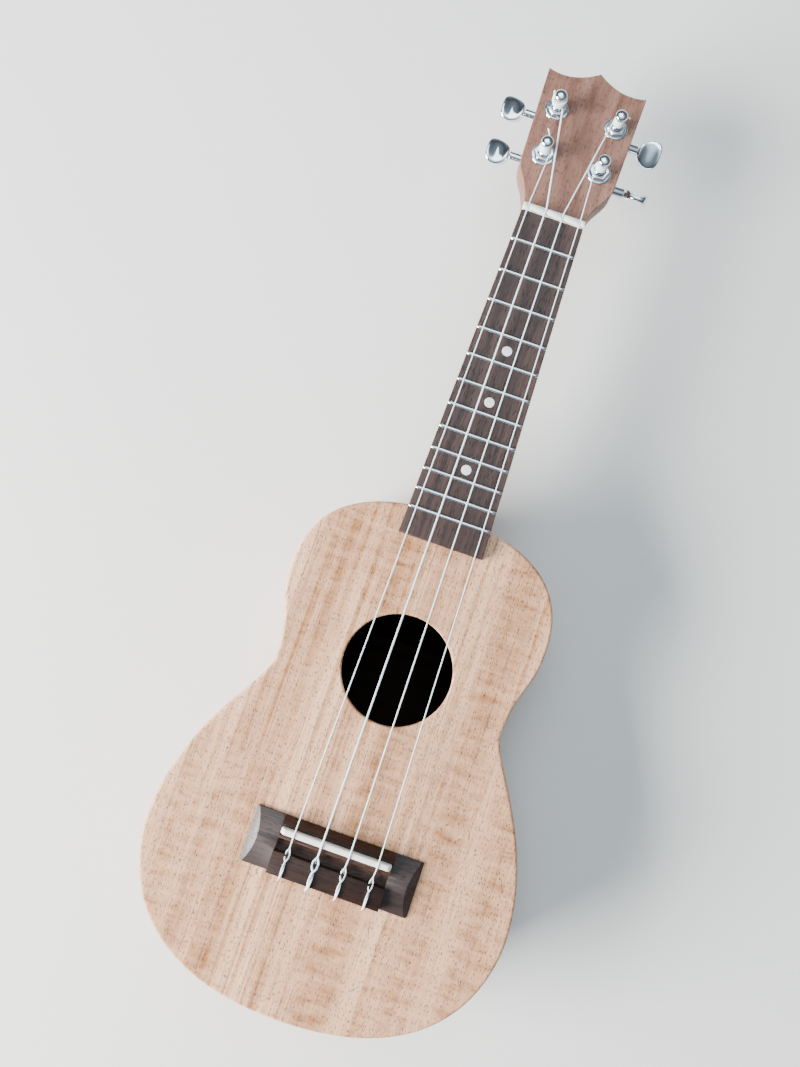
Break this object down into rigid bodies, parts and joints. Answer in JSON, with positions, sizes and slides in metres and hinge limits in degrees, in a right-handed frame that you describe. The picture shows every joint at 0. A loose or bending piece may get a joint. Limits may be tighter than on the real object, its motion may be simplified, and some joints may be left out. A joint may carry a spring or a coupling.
{
  "type": "ukulele",
  "caption": "Small four-string ukulele with hollow wooden body, fretted neck, tie-block bridge and geared tuners whose knobs turn the string posts.",
  "frame": {"origin": "middle of the outer length, on the centre line, on the flat underside of the back", "axes": "+Y from the tail to the headstock, +X to the treble side, +Z out of the soundboard"},
  "size_m": [0.191, 0.5294, 0.0717],
  "materials": {
    "soundboard_wood": "satin, open pores along the grain",
    "body_wood": "satin, open pores along the grain",
    "neck_wood": "satin, short dark pores",
    "inner_wood": "bare, sanded",
    "dark_wood": "bare, lightly oiled, open grain",
    "bone": "smooth, slightly glossy",
    "nylon": "clear white, glossy",
    "fret_metal": "polished nickel silver",
    "tuner_chrome": "bright chrome plate",
    "gear_brass": "cut brass",
    "shaft_steel": "turned steel"
  },
  "bodies": {
    "instrument": {"top_plate": "soundboard_wood", "back_plate": "body_wood", "side_bass": "body_wood", "side_treble": "body_wood", "tail_block": "inner_wood", "neck_block": "inner_wood", "back_lining_bass": "inner_wood", "back_lining_treble": "inner_wood", "top_lining_bass": "inner_wood", "top_lining_treble": "inner_wood", "top_brace_upper": "inner_wood", "top_brace_lower": "inner_wood", "back_brace_upper": "inner_wood", "back_brace_lower": "inner_wood", "bridge_plate": "inner_wood", "neck": "neck_wood", "fretboard": "dark_wood", "fret_01": "fret_metal", "fret_02": "fret_metal", "fret_03": "fret_metal", "fret_04": "fret_metal", "fret_05": "fret_metal", "fret_06": "fret_metal", "fret_07": "fret_metal", "fret_08": "fret_metal", "fret_09": "fret_metal", "fret_10": "fret_metal", "fret_11": "fret_metal", "fret_12": "fret_metal", "nut": "bone", "bridge": "dark_wood", "saddle": "bone", "string_g": "nylon", "string_c": "nylon", "string_e": "nylon", "string_a": "nylon", "g_tuner_case": "tuner_chrome", "g_tuner_bushing": "tuner_chrome", "c_tuner_case": "tuner_chrome", "c_tuner_bushing": "tuner_chrome", "e_tuner_case": "tuner_chrome", "e_tuner_bushing": "tuner_chrome", "a_tuner_case": "tuner_chrome", "a_tuner_bushing": "tuner_chrome"},
    "g_knob": {"g_worm_shaft": "shaft_steel", "g_tuner_knob": "tuner_chrome"},
    "g_post": {"g_string_post": "tuner_chrome", "g_post_gear": "gear_brass"},
    "c_knob": {"c_worm_shaft": "shaft_steel", "c_tuner_knob": "tuner_chrome"},
    "c_post": {"c_string_post": "tuner_chrome", "c_post_gear": "gear_brass"},
    "e_knob": {"e_worm_shaft": "shaft_steel", "e_tuner_knob": "tuner_chrome"},
    "e_post": {"e_string_post": "tuner_chrome", "e_post_gear": "gear_brass"},
    "a_knob": {"a_worm_shaft": "shaft_steel", "a_tuner_knob": "tuner_chrome"},
    "a_post": {"a_string_post": "tuner_chrome", "a_post_gear": "gear_brass"}
  },
  "joints": [
    {"name": "g_knob_turn", "type": "hinge", "parent": "instrument", "child": "g_knob", "pos_m": [-0.016, 0.20955, 0.04047], "axis": [1, 0, 0], "continuous": true},
    {"name": "g_post_turn", "type": "hinge", "parent": "instrument", "child": "g_post", "pos_m": [-0.016, 0.204, 0.04095], "axis": [0, 0.0872, 0.9962], "continuous": true},
    {"name": "c_knob_turn", "type": "hinge", "parent": "instrument", "child": "c_knob", "pos_m": [-0.0172, 0.23844, 0.03794], "axis": [1, 0, 0], "continuous": true},
    {"name": "c_post_turn", "type": "hinge", "parent": "instrument", "child": "c_post", "pos_m": [-0.0172, 0.23289, 0.03843], "axis": [0, 0.0872, 0.9962], "continuous": true},
    {"name": "e_knob_turn", "type": "hinge", "parent": "instrument", "child": "e_knob", "pos_m": [0.0172, 0.23844, 0.03794], "axis": [1, 0, 0], "continuous": true},
    {"name": "e_post_turn", "type": "hinge", "parent": "instrument", "child": "e_post", "pos_m": [0.0172, 0.23289, 0.03843], "axis": [0, 0.0872, 0.9962], "continuous": true},
    {"name": "a_knob_turn", "type": "hinge", "parent": "instrument", "child": "a_knob", "pos_m": [0.016, 0.20955, 0.04047], "axis": [1, 0, 0], "continuous": true},
    {"name": "a_post_turn", "type": "hinge", "parent": "instrument", "child": "a_post", "pos_m": [0.016, 0.204, 0.04095], "axis": [0, 0.0872, 0.9962], "continuous": true}
  ],
  "couplings": [
    {"joint": "g_post_turn", "follows": "g_knob_turn", "ratio": 0.071429},
    {"joint": "c_post_turn", "follows": "c_knob_turn", "ratio": 0.071429},
    {"joint": "e_post_turn", "follows": "e_knob_turn", "ratio": 0.071429},
    {"joint": "a_post_turn", "follows": "a_knob_turn", "ratio": 0.071429}
  ]
}
